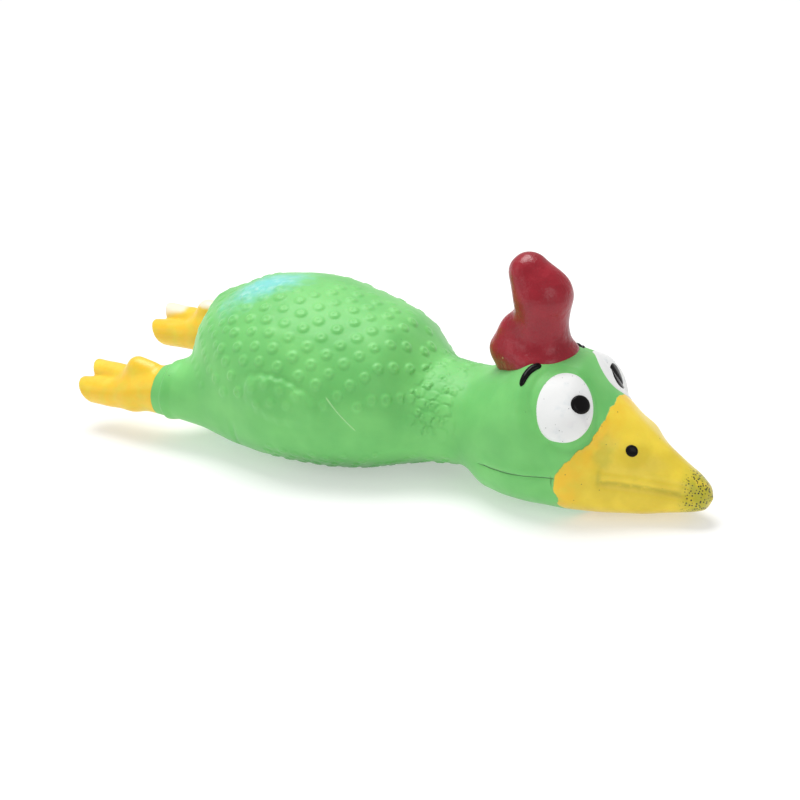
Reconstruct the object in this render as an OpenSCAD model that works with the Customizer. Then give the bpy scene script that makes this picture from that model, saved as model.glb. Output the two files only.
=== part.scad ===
// Squeaky rubber chicken: a hollow latex bird that lies on its belly, with legs stretched out behind.
// Millimetres. +X runs from the feet to the bill, +Y is the bird's left, +Z is up.
// The origin is on the resting surface, below the middle of the bird's length and width.

/* [Body] */
// Length from the toe tips to the bill tip
total_length = 240; // [216:2:264]
// Width of the body at its widest
body_width = 80; // [72:1:88]
// Height of the back above the resting surface
body_height = 60; // [54:1:66]
// Thickness of the latex skin
skin = 2.6; // [2:0.1:3]
// Height of the line above which the back gives way to a thumb
press_line = 44; // [42:1:46]

/* [Neck and head] */
// Height of the crown above the resting surface
head_height = 53; // [49:1:56]
// Width of the head across the cheeks
head_width = 56; // [50:1:62]
// Height of the top of the neck at its thinnest
neck_height = 38; // [34:1:42]
// Width of the neck at its thinnest
neck_width = 40; // [36:1:44]
// Distance from the bill tip back to the bill's root on the crown
bill_length = 36.5; // [34:0.5:39]

/* [Comb] */
// Length of the comb's foot along the crown
comb_length = 31; // [28:1:33]
// Height of the comb's tip above the resting surface
comb_top = 86; // [80:1:92]

/* [Face] */
// Radius of the balls that each eye is part of
eye_r = 12; // [11.6:0.2:12.4]
// Diameter of a pupil
pupil_d = 6.6; // [5:0.2:8]
// Diameter of a nostril
nostril_d = 4.4; // [3:0.2:5]
// Thickness of an eyebrow
brow_d = 2.8; // [2:0.2:4]

/* [Legs] */
// Distance between the two ankles
ankle_spread = 54; // [50:1:58]
// Diameter of an ankle
ankle_d = 17; // [16:1:19]
// Height of the ankle's middle above the resting surface
ankle_z = 19; // [17:1:21]
// Length of a foot from the ankle to the toe tips
foot_length = 35; // [32:1:38]

/* [Squeaker] */
// Diameter of the squeaker's barrel
barrel_d = 14; // [12:0.5:15]
// Diameter of the squeaker's outer flange
flange_d = 20; // [18:0.5:22]
// Length of the barrel above its flange
barrel_length = 13; // [12:0.5:15]
// Diameter of the sound hole
sound_hole_d = 3; // [2:0.2:3.6]
// Thickness of the reed
reed_t = 0.25; // [0.2:0.05:0.3]

/* [Hidden] */

green = "#6cc26a";
yellow = "#f4cf2e";
red = "#b3283c";
white_paint = "#f2f2f0";
black_paint = "#1c1c1c";
fibre_white = "#efece2";
plastic_white = "#e6e8ea";

// The drawing's own length, which the lengthwise places below are written for.
drawn_length = 240;
k = total_length / drawn_length;
neck_rear_x = 12 * k;
neck_front_x = 40 * k;
bill_tip_x = total_length / 2;
bill_root_x = bill_tip_x - bill_length;
ankle_x = -total_length / 2 + foot_length;
squeaker_x = -26 * k;
eps = 0.01;
far = 400;

// The bird's trunk from rump to bill tip, one row for each place where its shape turns.
// x, bottom, top, half width, height of the widest point as a share, roundness above it, roundness below it.
trunk = [
    [-79 * k,  20,  34,                  5,                   .45, 2.1, 2.4],
    [-75 * k,  12,  .74 * body_height,   .22 * body_width,    .45, 2.1, 2.5],
    [-66 * k,   5,  .87 * body_height,   .36 * body_width,    .43, 2.1, 2.6],
    [-52 * k, -.8,  .97 * body_height,   .46 * body_width,    .42, 2.1, 2.6],
    [-34 * k, -.8,  body_height,         .50 * body_width,    .42, 2.1, 2.7],
    [-16 * k, -.8,  .95 * body_height,   .475 * body_width,   .42, 2.1, 2.7],
    [  2 * k,   1,  .87 * body_height,   .40 * body_width,    .43, 2.1, 2.6],
    [ 18 * k,   4,  neck_height + 1.5,   .5 * neck_width + 2, .45, 2.1, 2.3],
    [ 31 * k,   5,  neck_height + 1,     .5 * neck_width,     .45, 2.1, 2.2],
    [ 44 * k,  .4,  .85 * head_height,   .45 * head_width,    .45, 2.1, 2.6],
    [ 58 * k,   0,  head_height,         .50 * head_width,    .42, 2.2, 2.9],
    [ 72 * k,   0,  .97 * head_height,   .48 * head_width,    .38, 2.1, 2.7],
    [ 84 * k,  .4,  .75 * head_height,   .375 * head_width,   .32, 1.8, 2.7],
    [ 97 * k,   1,  .55 * head_height,   .25 * head_width,    .30, 1.7, 2.6],
    [110 * k,   3,  .36 * head_height,   .145 * head_width,   .35, 1.8, 2.3],
    [117 * k, 4.5,  .26 * head_height,   .09 * head_width,    .45, 2.0, 2.1],
    [bill_tip_x, 8, 10,                  1,                   .50, 2.0, 2.0]];

// Smooth curve through column c of the trunk's rows, with no overshoot between them.
function chord(i, c) = (trunk[i + 1][c] - trunk[i][c]) / (trunk[i + 1][0] - trunk[i][0]);
function slope(i, c) =
    i <= 0 || i >= len(trunk) - 1 ? chord(min(max(i, 0), len(trunk) - 2), c)
    : chord(i - 1, c) * chord(i, c) <= 0 ? 0
    : 2 * chord(i - 1, c) * chord(i, c) / (chord(i - 1, c) + chord(i, c));
function row_before(x, i = 0) = i >= len(trunk) - 2 || x <= trunk[i + 1][0] ? i : row_before(x, i + 1);
function hermite(i, c, w, u) =
    (2 * u^3 - 3 * u^2 + 1) * trunk[i][c] + (u^3 - 2 * u^2 + u) * w * slope(i, c)
    + (3 * u^2 - 2 * u^3) * trunk[i + 1][c] + (u^3 - u^2) * w * slope(i + 1, c);
function at(x, c) =
    let (i = row_before(x), w = trunk[i + 1][0] - trunk[i][0]) hermite(i, c, w, (x - trunk[i][0]) / w);

// One rounded section of the trunk at x, set in from the surface by inset.
function signed_power(v, p) = sign(v) * abs(v)^p;
function section(x, inset, n) =
    let (low = at(x, 1) + inset, high = at(x, 2) - inset, half = at(x, 3) - inset,
         middle = low + (high - low) * at(x, 4), above = 2 / at(x, 5), below = 2 / at(x, 6))
    [for (i = [0:n - 1])
        let (a = 360 * i / n, s = sin(a), p = s > 0 ? above : below,
             reach = s > 0 ? high - middle : middle - low)
        [x, half * signed_power(cos(a), p), middle + reach * signed_power(s, p)]];

// Every trunk solid has its rings at the same places, so that parts cut from it fit each other exactly.
ring_places = concat([trunk[0][0]], [for (x = [-76:4:84]) x * k], [for (x = [87:3:117]) x * k], [bill_tip_x]);
function ring_before(x) = max([for (place = ring_places) if (place <= x) place]);
function ring_after(x) = min([for (place = ring_places) if (place >= x) place]);

// Closed solid of the trunk between two places, set in by inset.
module trunk_solid(from, to, inset = 0, n = 36) {
    between = [for (place = ring_places) if (place > from + eps && place < to - eps) place];
    places = concat([from], between, [to]);
    count = len(places) - 1;
    rings = [for (place = places) section(place, inset, n)];
    sides = [for (r = [0:count - 1], i = [0:n - 1])
        let (a = r * n + i, b = r * n + (i + 1) % n)
        each [[a, b + n, b], [a, a + n, b + n]]];
    polyhedron([for (ring = rings) each ring],
               concat(sides, [[for (i = [0:n - 1]) i]], [[for (i = [n - 1:-1:0]) count * n + i]]));
}

// Trunk that is cut away from what lies on it, a whole number of rings long.
module trunk_cutter(from, to) {
    trunk_solid(ring_before(from), ring_after(to));
}

module above_floor() {
    intersection() {
        children();
        translate([-far / 2, -far / 2, 0]) cube([far, far, far]);
    }
}

// Mirrors its children to the bird's left side. The trunk is never mirrored, so that its facets agree.
module on_side(side) {
    mirror([0, side == "left" ? 1 : 0, 0]) children();
}

/* ---- torso ---- */

rump_x = trunk[0][0];
port_r = barrel_d / 2 + .05;
recess_r = flange_d / 2 + 1;
recess_depth = 2;
boss_r = recess_r + 3;
boss_top = 6;

module torso_shell() {
    difference() {
        above_floor() trunk_solid(rump_x, neck_rear_x);
        trunk_solid(rump_x + skin, neck_rear_x + 1, skin);
    }
}

module torso_skin() {
    color(green) difference() {
        union() {
            intersection() {
                torso_shell();
                translate([-far / 2, -far / 2, 0]) cube([far, far, press_line]);
            }
            translate([squeaker_x, 0, 0]) cylinder(h = boss_top, r = boss_r, $fn = 48);
        }
        for (side = ["right", "left"]) on_side(side) leg_solid(skin);
        translate([squeaker_x, 0, -1]) cylinder(h = recess_depth + 1, r = recess_r, $fn = 48);
        translate([squeaker_x, 0, -1]) cylinder(h = boss_top + 2, r = port_r, $fn = 48);
    }
}

module back_skin() {
    color(green) intersection() {
        torso_shell();
        translate([-far / 2, -far / 2, press_line]) cube([far, far, far]);
    }
}

module neck_skin() {
    color(green) difference() {
        trunk_solid(neck_rear_x, neck_front_x);
        trunk_solid(neck_rear_x - 1, neck_front_x + 1, skin);
    }
}

/* ---- head ---- */

face_curve_r = 36.5;

// Upright round column whose front is the line where the green face meets the bill.
module face_column(grow = 0) {
    translate([bill_root_x - face_curve_r, 0, -10]) cylinder(h = 100, r = face_curve_r + grow, $fn = 96);
}

module head_skin() {
    color(green) intersection() {
        difference() {
            trunk_solid(neck_front_x, ring_after(bill_root_x));
            trunk_solid(neck_front_x - 1, ring_after(bill_root_x) + 1, skin);
        }
        face_column();
    }
}

module bill() {
    front_wall = 8;
    bill_rear_x = ring_before(bill_root_x - 14);
    color(yellow) difference() {
        trunk_solid(bill_rear_x, bill_tip_x);
        trunk_solid(bill_rear_x - 1, bill_tip_x - front_wall, skin);
        face_column();
    }
}

// Comb: a tall front lobe that curls back, and a low lobe behind it, both on one long foot.
comb_foot_z = head_height - 3;
comb_rise = comb_top - comb_foot_z;
comb_mid_x = 55 * k;

module comb_ball(along, up, r) {
    translate([comb_mid_x + along, 0, comb_foot_z + up]) sphere(r, $fn = 24);
}

module comb() {
    half = comb_length / 2;
    waist = [.1 * half, .3 * comb_rise, 9.4];
    bulge = [.03 * half, .58 * comb_rise, 9.8];
    tip_r = 6.8;
    color(red) difference() {
        union() {
            hull() {
                comb_ball(-.66 * half, -2, 8.8);
                comb_ball(.3 * half, -1, 10);
            }
            hull() {
                comb_ball(-.66 * half, -2, 8.8);
                comb_ball(-.62 * half, .12 * comb_rise, 7.4);
                comb_ball(waist.x - 2, waist.y - 2, waist.z - 1);
            }
            hull() {
                comb_ball(.3 * half, -1, 10);
                comb_ball(waist.x, waist.y, waist.z);
            }
            hull() {
                comb_ball(waist.x, waist.y, waist.z);
                comb_ball(bulge.x, bulge.y, bulge.z);
            }
            hull() {
                comb_ball(bulge.x, bulge.y, bulge.z);
                comb_ball(-.39 * half, comb_rise - tip_r, tip_r);
            }
        }
        trunk_cutter(neck_front_x - 8, bill_root_x);
    }
}

// Each eye is a low oval dome: two equal balls, one a little further up the face, sunk into the head.
eye_centre = [69.2 * k, -13.5, 35.4];
eye_rise = [-.6, 1.2, 1.5];
eye_span = 26;

module eye_dome(grow = 0) {
    hull() for (end = [-1, 1])
        translate(eye_centre + end * eye_rise) sphere(eye_r + grow, $fn = 32);
}

module eye(side) {
    color(white_paint) difference() {
        on_side(side) eye_dome();
        trunk_cutter(eye_centre.x - eye_span / 2, eye_centre.x + eye_span / 2);
    }
}

// A pupil is a raised dot of paint; toward points to it from the eye's middle.
right_pupil_toward = [.74, -.28, .57];
left_pupil_toward = [.82, .26, .45];
pupil_sink = 1.4;

module pupil(side, toward) {
    color(black_paint) difference() {
        on_side(side) translate(eye_centre + toward / norm(toward) * (eye_r - pupil_sink))
            sphere(d = pupil_d, $fn = 24);
        on_side(side) eye_dome();
        trunk_cutter(eye_centre.x - eye_span / 2, eye_centre.x + eye_span / 2);
    }
}

// An eyebrow is a short arc of a ring that lies along the crown.
brow_arc = 80;
brow_r = 6.6;
right_brow_centre = [61.6 * k, -16.5, 49.7];
left_brow_centre = [70.4 * k, -13.9, 51.4];

module eyebrow(side, ring_centre) {
    color(black_paint) difference() {
        on_side(side) translate(ring_centre) rotate([0, 33, -118]) rotate([0, 0, -123])
            rotate_extrude(angle = brow_arc, $fn = 48) translate([brow_r, 0]) circle(d = brow_d, $fn = 16);
        trunk_cutter(46 * k, 82 * k);
    }
}

module nostril(side) {
    color(black_paint) difference() {
        on_side(side) translate([93 * k, -9.5, 24.6]) sphere(d = nostril_d, $fn = 24);
        trunk_cutter(86 * k, 100 * k);
    }
}

/* ---- legs and feet ---- */

hip = [-60 * k, -21, 20];
hip_r = 15;
ankle = [ankle_x, -ankle_spread / 2, ankle_z];
foot_r = ankle_d / 2;

// Tapered drumstick from the hip to the ankle, set in by inset.
module leg_solid(inset = 0) {
    hull() {
        translate(hip) sphere(hip_r - inset, $fn = 24);
        translate(ankle + [2, 0, 0]) sphere(foot_r + .2 - inset, $fn = 24);
    }
}

module leg_skin(side) {
    color(green) intersection() {
        difference() {
            on_side(side) leg_solid();
            on_side(side) leg_solid(skin);
            above_floor() trunk_cutter(rump_x, hip.x + hip_r + 2);
        }
        translate([ankle_x, -far / 2, 0]) cube([far, far, far]);
    }
}

// Palm, hind toe and two front toes. Both feet have their long toe on the bird's right and low down.
toe_r = 4.2;
toe_reach = [-foot_length + toe_r, -foot_length + toe_r + 7];
toe_side = [-2, 5];
toe_rise = [-5, 1.5];
hind_toe = [-6, 0, 7.5];

module foot() {
    palm = ankle + [-11, 0, -2];
    hind_root_r = 5;
    toe_root_r = 6;
    color(yellow) intersection() {
        union() {
            hull() {
                translate(ankle + [1, 0, 0]) sphere(foot_r, $fn = 24);
                translate(palm) sphere(foot_r - 1, $fn = 24);
            }
            hull() {
                translate(ankle + hind_toe) sphere(toe_r, $fn = 20);
                translate(palm + [0, 0, 2]) sphere(hind_root_r, $fn = 20);
            }
            for (toe = [0:1]) hull() {
                translate(palm + [0, .35 * toe_side[toe], 0]) sphere(toe_root_r, $fn = 20);
                translate(ankle + [toe_reach[toe], toe_side[toe], toe_rise[toe]]) sphere(toe_r, $fn = 20);
            }
        }
        translate([ankle_x - far, -far / 2, 0]) cube([far, far, far]);
    }
}

/* ---- inside ---- */

lining = .6;

module body_filling() {
    color(fibre_white) difference() {
        trunk_solid(rump_x + skin + 6, neck_rear_x - 2, skin + lining, n = 28);
        translate([squeaker_x, 0, -1]) cylinder(h = barrel_length + 8, r = boss_r + lining, $fn = 32);
        for (side = ["right", "left"]) on_side(side) leg_solid(skin);
    }
}

module head_filling() {
    color(fibre_white) intersection() {
        trunk_solid(neck_front_x + 3, bill_root_x + 2, skin + lining, n = 28);
        face_column(-1);
    }
}

flange_t = 1.2;
ridge_t = 1.2;
barrel_wall = 1.6;
bore_r = barrel_d / 2 - barrel_wall;
barrel_top = recess_depth + barrel_length;
seat_floor = recess_depth + flange_t;
reed_width = 5;
reed_gap = .2;
clamp_height = 3;
trough_r = 3;

module on_squeaker() {
    translate([squeaker_x, 0, 0]) children();
}

module squeaker_housing() {
    color(plastic_white) on_squeaker() difference() {
        union() {
            translate([0, 0, recess_depth - flange_t]) cylinder(h = flange_t, d = flange_d, $fn = 48);
            translate([0, 0, recess_depth - eps]) cylinder(h = barrel_length + eps, d = barrel_d, $fn = 48);
            translate([0, 0, boss_top]) cylinder(h = ridge_t, d = barrel_d + 2, $fn = 48);
        }
        translate([0, 0, seat_floor]) cylinder(h = far, r = bore_r, $fn = 48);
        translate([0, 0, -1]) cylinder(h = far, d = sound_hole_d, $fn = 24);
    }
}

// Half plug with a shallow trough that the reed buzzes against.
module reed_seat() {
    color(plastic_white) on_squeaker() difference() {
        intersection() {
            translate([0, 0, seat_floor])
                cylinder(h = barrel_length - flange_t - 1, r = bore_r - .03, $fn = 48);
            translate([-far / 2, -far - reed_t / 2 - reed_gap, 0]) cube([far, far, far]);
        }
        translate([0, -reed_t / 2 - reed_gap, seat_floor + clamp_height])
            rotate([4, 0, 0]) cylinder(h = far, r = trough_r, $fn = 32);
        cylinder(h = far, d = sound_hole_d, $fn = 24);
    }
}

// Short half plug that holds the reed's root against the seat.
module reed_clamp() {
    color(plastic_white) on_squeaker() difference() {
        intersection() {
            translate([0, 0, seat_floor]) cylinder(h = clamp_height, r = bore_r - .03, $fn = 48);
            translate([-far / 2, reed_t / 2 + reed_gap, 0]) cube([far, far, far]);
        }
        cylinder(h = far, d = sound_hole_d, $fn = 24);
    }
}

module squeaker_reed() {
    color(plastic_white) on_squeaker()
        translate([-reed_width / 2, -reed_t / 2, seat_floor + clamp_height - 1])
            cube([reed_width, reed_t, barrel_length - flange_t - clamp_height - 1.5]);
}

// Cover with a ring of small holes that keeps the fibres off the reed.
module squeaker_cap() {
    cap_t = 1.2;
    skirt = 3;
    holes = 6;
    hole_ring_r = 3.6;
    hole_d = 1.6;
    color(plastic_white) on_squeaker() difference() {
        translate([0, 0, barrel_top - skirt]) cylinder(h = skirt + cap_t, d = barrel_d + 2.4, $fn = 48);
        translate([0, 0, barrel_top - skirt - 1]) cylinder(h = skirt + 1, d = barrel_d + .1, $fn = 48);
        for (i = [0:holes - 1]) rotate([0, 0, i * 360 / holes])
            translate([hole_ring_r, 0, 0]) cylinder(h = far, d = hole_d, $fn = 16);
    }
}

torso_skin();
back_skin();
neck_skin();
head_skin();
bill();
comb();
eye("right");  // right_eye
eye("left");  // left_eye
pupil("right", right_pupil_toward);  // right_pupil
pupil("left", left_pupil_toward);  // left_pupil
eyebrow("right", right_brow_centre);  // right_eyebrow
eyebrow("left", left_brow_centre);  // left_eyebrow
nostril("right");  // right_nostril
nostril("left");  // left_nostril
leg_skin("right");  // right_leg_skin
leg_skin("left");  // left_leg_skin
foot();  // right_foot
translate([0, ankle_spread, 0]) foot();  // left_foot
body_filling();
head_filling();
squeaker_housing();
reed_seat();
reed_clamp();
squeaker_reed();
squeaker_cap();
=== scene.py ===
"""Looks of the squeaky rubber chicken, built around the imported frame.

Shapes are worked out in millimetres, and turned to metres when a mesh is made.
+X runs from the feet to the bill, +Y is the bird's left, +Z is up.
"""

import math

import bpy
import numpy as np
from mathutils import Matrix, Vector, noise
from mathutils.bvhtree import BVHTree


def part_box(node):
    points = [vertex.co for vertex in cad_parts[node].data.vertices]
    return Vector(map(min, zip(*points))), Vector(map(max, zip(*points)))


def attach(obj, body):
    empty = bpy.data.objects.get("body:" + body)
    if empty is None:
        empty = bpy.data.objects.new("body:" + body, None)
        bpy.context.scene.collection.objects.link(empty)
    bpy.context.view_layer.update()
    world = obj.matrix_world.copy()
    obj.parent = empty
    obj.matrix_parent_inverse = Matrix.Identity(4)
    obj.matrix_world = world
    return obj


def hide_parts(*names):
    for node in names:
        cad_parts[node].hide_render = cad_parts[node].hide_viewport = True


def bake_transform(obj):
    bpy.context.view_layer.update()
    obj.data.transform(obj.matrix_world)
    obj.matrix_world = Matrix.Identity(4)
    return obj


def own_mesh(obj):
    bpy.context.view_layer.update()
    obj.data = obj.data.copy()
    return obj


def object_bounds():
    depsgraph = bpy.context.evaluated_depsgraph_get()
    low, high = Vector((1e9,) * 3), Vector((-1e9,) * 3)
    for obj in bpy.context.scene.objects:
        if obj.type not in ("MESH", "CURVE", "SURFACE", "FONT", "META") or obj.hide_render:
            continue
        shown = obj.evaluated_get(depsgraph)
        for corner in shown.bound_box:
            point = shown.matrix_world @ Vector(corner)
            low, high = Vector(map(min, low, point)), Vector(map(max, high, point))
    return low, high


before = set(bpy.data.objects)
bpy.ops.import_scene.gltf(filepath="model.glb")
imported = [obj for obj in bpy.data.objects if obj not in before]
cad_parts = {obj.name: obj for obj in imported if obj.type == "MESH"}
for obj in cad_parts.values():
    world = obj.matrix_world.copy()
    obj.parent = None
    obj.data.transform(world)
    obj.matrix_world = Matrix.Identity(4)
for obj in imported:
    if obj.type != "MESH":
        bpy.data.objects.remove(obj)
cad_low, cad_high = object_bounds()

MM = 0.001
GRID = 0.5


def box_mm(node):
    """Lowest and highest corner of a CAD node, in mm."""
    low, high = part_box(node)
    return np.array(low) / MM, np.array(high) / MM


# ---- Sizes. The driving ones come from the frame, and the trunk's rows repeat part.scad ----

DRAWN_LENGTH = 240.0
LENGTH = (cad_high.x - cad_low.x) / MM
K = LENGTH / DRAWN_LENGTH
BODY_HEIGHT = box_mm("back_skin")[1][2]
BODY_WIDTH = 2 * box_mm("torso_skin")[1][1]
HEAD_HEIGHT = box_mm("head_skin")[1][2]
HEAD_WIDTH = 2 * box_mm("head_skin")[1][1]
NECK_HEIGHT = 38.0
NECK_WIDTH = 40.0
SKIN = 2.6
WALL = SKIN - .4
ANKLE_X = box_mm("right_foot")[1][0]
ANKLE = np.array([ANKLE_X, 27.0, 19.0])
ANKLE_R = 8.0
FOOT_SHIFT = {"right": np.array([2.5, 0, 0]), "left": np.array([-.6, 0, 2.8])}
SIDES = {"right": -1, "left": 1}
HIP = np.array([-60.0 * K, 21.0, 20.0])
HIP_R = 15.0
BILL_ROOT_X = LENGTH / 2 - 36.5
FACE_CURVE_R = 36.5
FACE_CURVE_X = BILL_ROOT_X - FACE_CURVE_R
SQUEAKER_X = -26.0 * K
RECESS_R = 11.0
RECESS_DEPTH = 2.0
PORT_R = 7.05
BOSS_TOP = 6.0

# x, bottom, top, half width, height of the widest point as a share, roundness above it, roundness below it.
TRUNK = np.array([
    [-79 * K, 20, 34, 5, .45, 2.1, 2.4],
    [-75 * K, 12, .74 * BODY_HEIGHT, .22 * BODY_WIDTH, .45, 2.1, 2.5],
    [-66 * K, 5, .87 * BODY_HEIGHT, .36 * BODY_WIDTH, .43, 2.1, 2.6],
    [-52 * K, -.8, .97 * BODY_HEIGHT, .46 * BODY_WIDTH, .42, 2.1, 2.6],
    [-34 * K, -.8, BODY_HEIGHT, .50 * BODY_WIDTH, .42, 2.1, 2.7],
    [-16 * K, -.8, .95 * BODY_HEIGHT, .475 * BODY_WIDTH, .42, 2.1, 2.7],
    [2 * K, 1, .87 * BODY_HEIGHT, .40 * BODY_WIDTH, .43, 2.1, 2.6],
    [18 * K, 4, NECK_HEIGHT + 1.5, .5 * NECK_WIDTH + 2, .45, 2.1, 2.3],
    [31 * K, 5, NECK_HEIGHT + 1, .5 * NECK_WIDTH, .45, 2.1, 2.2],
    [44 * K, .4, .85 * HEAD_HEIGHT, .45 * HEAD_WIDTH, .45, 2.1, 2.6],
    [58 * K, 0, HEAD_HEIGHT, .50 * HEAD_WIDTH, .42, 2.2, 2.9],
    [72 * K, 0, .97 * HEAD_HEIGHT, .48 * HEAD_WIDTH, .38, 2.1, 2.7],
    [84 * K, .4, .75 * HEAD_HEIGHT, .375 * HEAD_WIDTH, .32, 1.8, 2.7],
    [97 * K, 1, .55 * HEAD_HEIGHT, .25 * HEAD_WIDTH, .30, 1.7, 2.6],
    [110 * K, 3, .36 * HEAD_HEIGHT, .145 * HEAD_WIDTH, .35, 1.8, 2.3],
    [117 * K, 4.5, .26 * HEAD_HEIGHT, .09 * HEAD_WIDTH, .45, 2.0, 2.1],
    [LENGTH / 2, 8, 10, 1, .50, 2.0, 2.0]])

# Where the pieces of skin part.
PRESS_Z = 44.0
NECK_START_X = 15.0 * K
NECK_MIDDLE_X = 30.0 * K
HEAD_START_X = 48.0 * K
HAUNCH = np.array([-.675, .675, -.30])
HAUNCH_START = 50.0
HAUNCH_END = 64.0

EYE_CENTRE = np.array([71.4 * K, 16.9, 39.0])
LEFT_EYE_CENTRE = np.array([76.8 * K, 11.1, 41.3])
EYE_FORWARD = np.array([.84, -.54, .01])
EYE_UP = np.array([-.30, -.60, .74])
EYE_HALF_WIDE = 10.0
EYE_HALF_HIGH = 12.3
PUPILS = {"right": (76.0 * K, 15.4, 40.0, 3.5, 3.4, 1.15), "left": (78.6 * K, 8.9, 41.0, 5.2, 4.6, .55)}
NOSTRIL = np.array([93.0 * K, 10.2, 25.0])


def smooth(low, high, value):
    """0 up to low, 1 from high, and an even S curve between them."""
    t = np.clip((value - low) / (high - low), 0, 1)
    return t * t * (3 - 2 * t)


def bell(value, centre, width):
    """A bell of height 1 at the centre, whose width is where it has sunk to about a third."""
    return np.exp(-((value - centre) / width)**2)


def unit(vector):
    return np.asarray(vector, float) / np.linalg.norm(vector)


# ---- Fields: signed distances, in mm, negative inside ----

def along_trunk(x, column):
    """Smooth curve through one column of the trunk's rows, with no overshoot between them."""
    places, values = TRUNK[:, 0], TRUNK[:, column]
    gaps = np.diff(places)
    chords = np.diff(values) / gaps
    before, after = chords[:-1], chords[1:]
    same_way = before * after > 0
    inner = np.where(same_way, 2 * before * after / np.where(same_way, before + after, 1), 0)
    slopes = np.concatenate([chords[:1], inner, chords[-1:]])
    x = np.clip(x, places[0], places[-1])
    row = np.clip(np.searchsorted(places, x) - 1, 0, len(gaps) - 1)
    gap = gaps[row]
    u = (x - places[row]) / gap
    return ((2 * u**3 - 3 * u**2 + 1) * values[row] + (u**3 - 2 * u**2 + u) * gap * slopes[row]
            + (3 * u**2 - 2 * u**3) * values[row + 1] + (u**3 - u**2) * gap * slopes[row + 1])


def join(a, b, blend):
    """Union of two fields with a fillet of about the blend's size."""
    h = np.maximum(blend - np.abs(a - b), 0) / blend
    return np.minimum(a, b) - h * h * blend / 4


def overlap(a, b, blend):
    """Intersection of two fields with a rounded edge."""
    return -join(-a, -b, blend)


def round_cone(grid, start, end, start_r, end_r):
    """Hull of two balls."""
    axis = np.asarray(end, float) - start
    length2 = float(axis @ axis)
    drop = start_r - end_r
    slant2 = length2 - drop**2
    away = [g - s for g, s in zip(grid, start)]
    along = sum(d * a for d, a in zip(away, axis))
    side2 = sum((d * length2 - a * along)**2 for d, a in zip(away, axis))
    beyond = along - length2
    along2 = along**2 * length2
    beyond2 = beyond**2 * length2
    turn = np.sign(drop) * drop**2 * side2
    flank = (np.sqrt(side2 * slant2 / length2) + along * drop) / length2 - start_r
    past_end = np.sqrt(side2 + beyond2) / length2 - end_r
    past_start = np.sqrt(side2 + along2) / length2 - start_r
    return np.where(np.sign(beyond) * slant2 * beyond2 > turn, past_end,
                    np.where(np.sign(along) * slant2 * along2 < turn, past_start, flank))


def ellipsoid(grid, centre, radii):
    ratio = np.sqrt(sum(((g - c) / r)**2 for g, c, r in zip(grid, centre, radii)))
    return (ratio - 1) * min(radii)


def trunk_field(x, y, z, step):
    low, high, half, share, above, below = (along_trunk(x, c)[:, None] for c in range(1, 7))
    middle = low + (high - low) * share
    upper = z[None, :] > middle
    power = np.where(upper, above, below)
    reach = np.where(upper, high - middle, middle - low)
    height = (np.abs(z[None, :] - middle) / reach) ** power
    wide = np.abs(y)[None, :] / half
    total = np.where(upper[:, None, :], (wide ** above)[:, :, None], (wide ** below)[:, :, None])
    total = (total + height[:, None, :]).astype(np.float32)
    ratio = total ** (1 / power)[:, None, :].astype(np.float32)
    steepness = np.sqrt(sum(g**2 for g in np.gradient(ratio, step)))
    field = (ratio - 1) / np.maximum(steepness, (.3 / half)[:, :, None])
    rump_round, bill_round = 7.0, 2.5
    field = overlap(field, (TRUNK[0, 0] - 2.0 - x)[:, None, None], rump_round)
    return overlap(field, (x - LENGTH / 2)[:, None, None], bill_round)


def toe(grid, root, tip, tip_r, cut_tilt, cut_back):
    """Toe that ends in a chiselled claw: a slanting face whose upper edge reaches furthest back."""
    shape = round_cone(grid, root, tip, 6.0, tip_r)
    tilt = math.radians(cut_tilt)
    face = (-(grid[0] - tip[0]) * math.cos(tilt) - (grid[2] - tip[2]) * math.sin(tilt)) - cut_back
    return overlap(shape, face, .6)


def foot_field(grid, ankle):
    """Palm, hind toe and two front toes. On both feet the long low toe is on the bird's right."""
    palm = ankle + [-11, 0, -2]
    shape = round_cone(grid, ankle + [3, 0, 0], palm, ANKLE_R - .5, 7.2)
    long_toe = toe(grid, palm + [0, -1.5, -1.5], ankle + [-36.2, -2.5, -5.6], 4.5, 33, -4.5)
    short_toe = toe(grid, palm + [0, 2.5, 1], ankle + [-34.0, 5.5, .1], 3.7, 26, -3.3)
    shape = join(shape, join(long_toe, short_toe, 1.2), 3.0)
    hind_toe = round_cone(grid, ankle + [-10.5, 1, 6.2], ankle + [-4.5, 1, 6.2], 4.3, 3.4)
    return join(shape, hind_toe, 3.5)


def squeaker_port(x, y, z):
    """The round recess and the hole through the belly that the squeaker sits in."""
    across = np.sqrt((x - SQUEAKER_X)**2 + y**2)
    recess = np.maximum(across - RECESS_R, z - RECESS_DEPTH)
    return recess, np.maximum(across - PORT_R, z - BOSS_TOP - 4)


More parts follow.
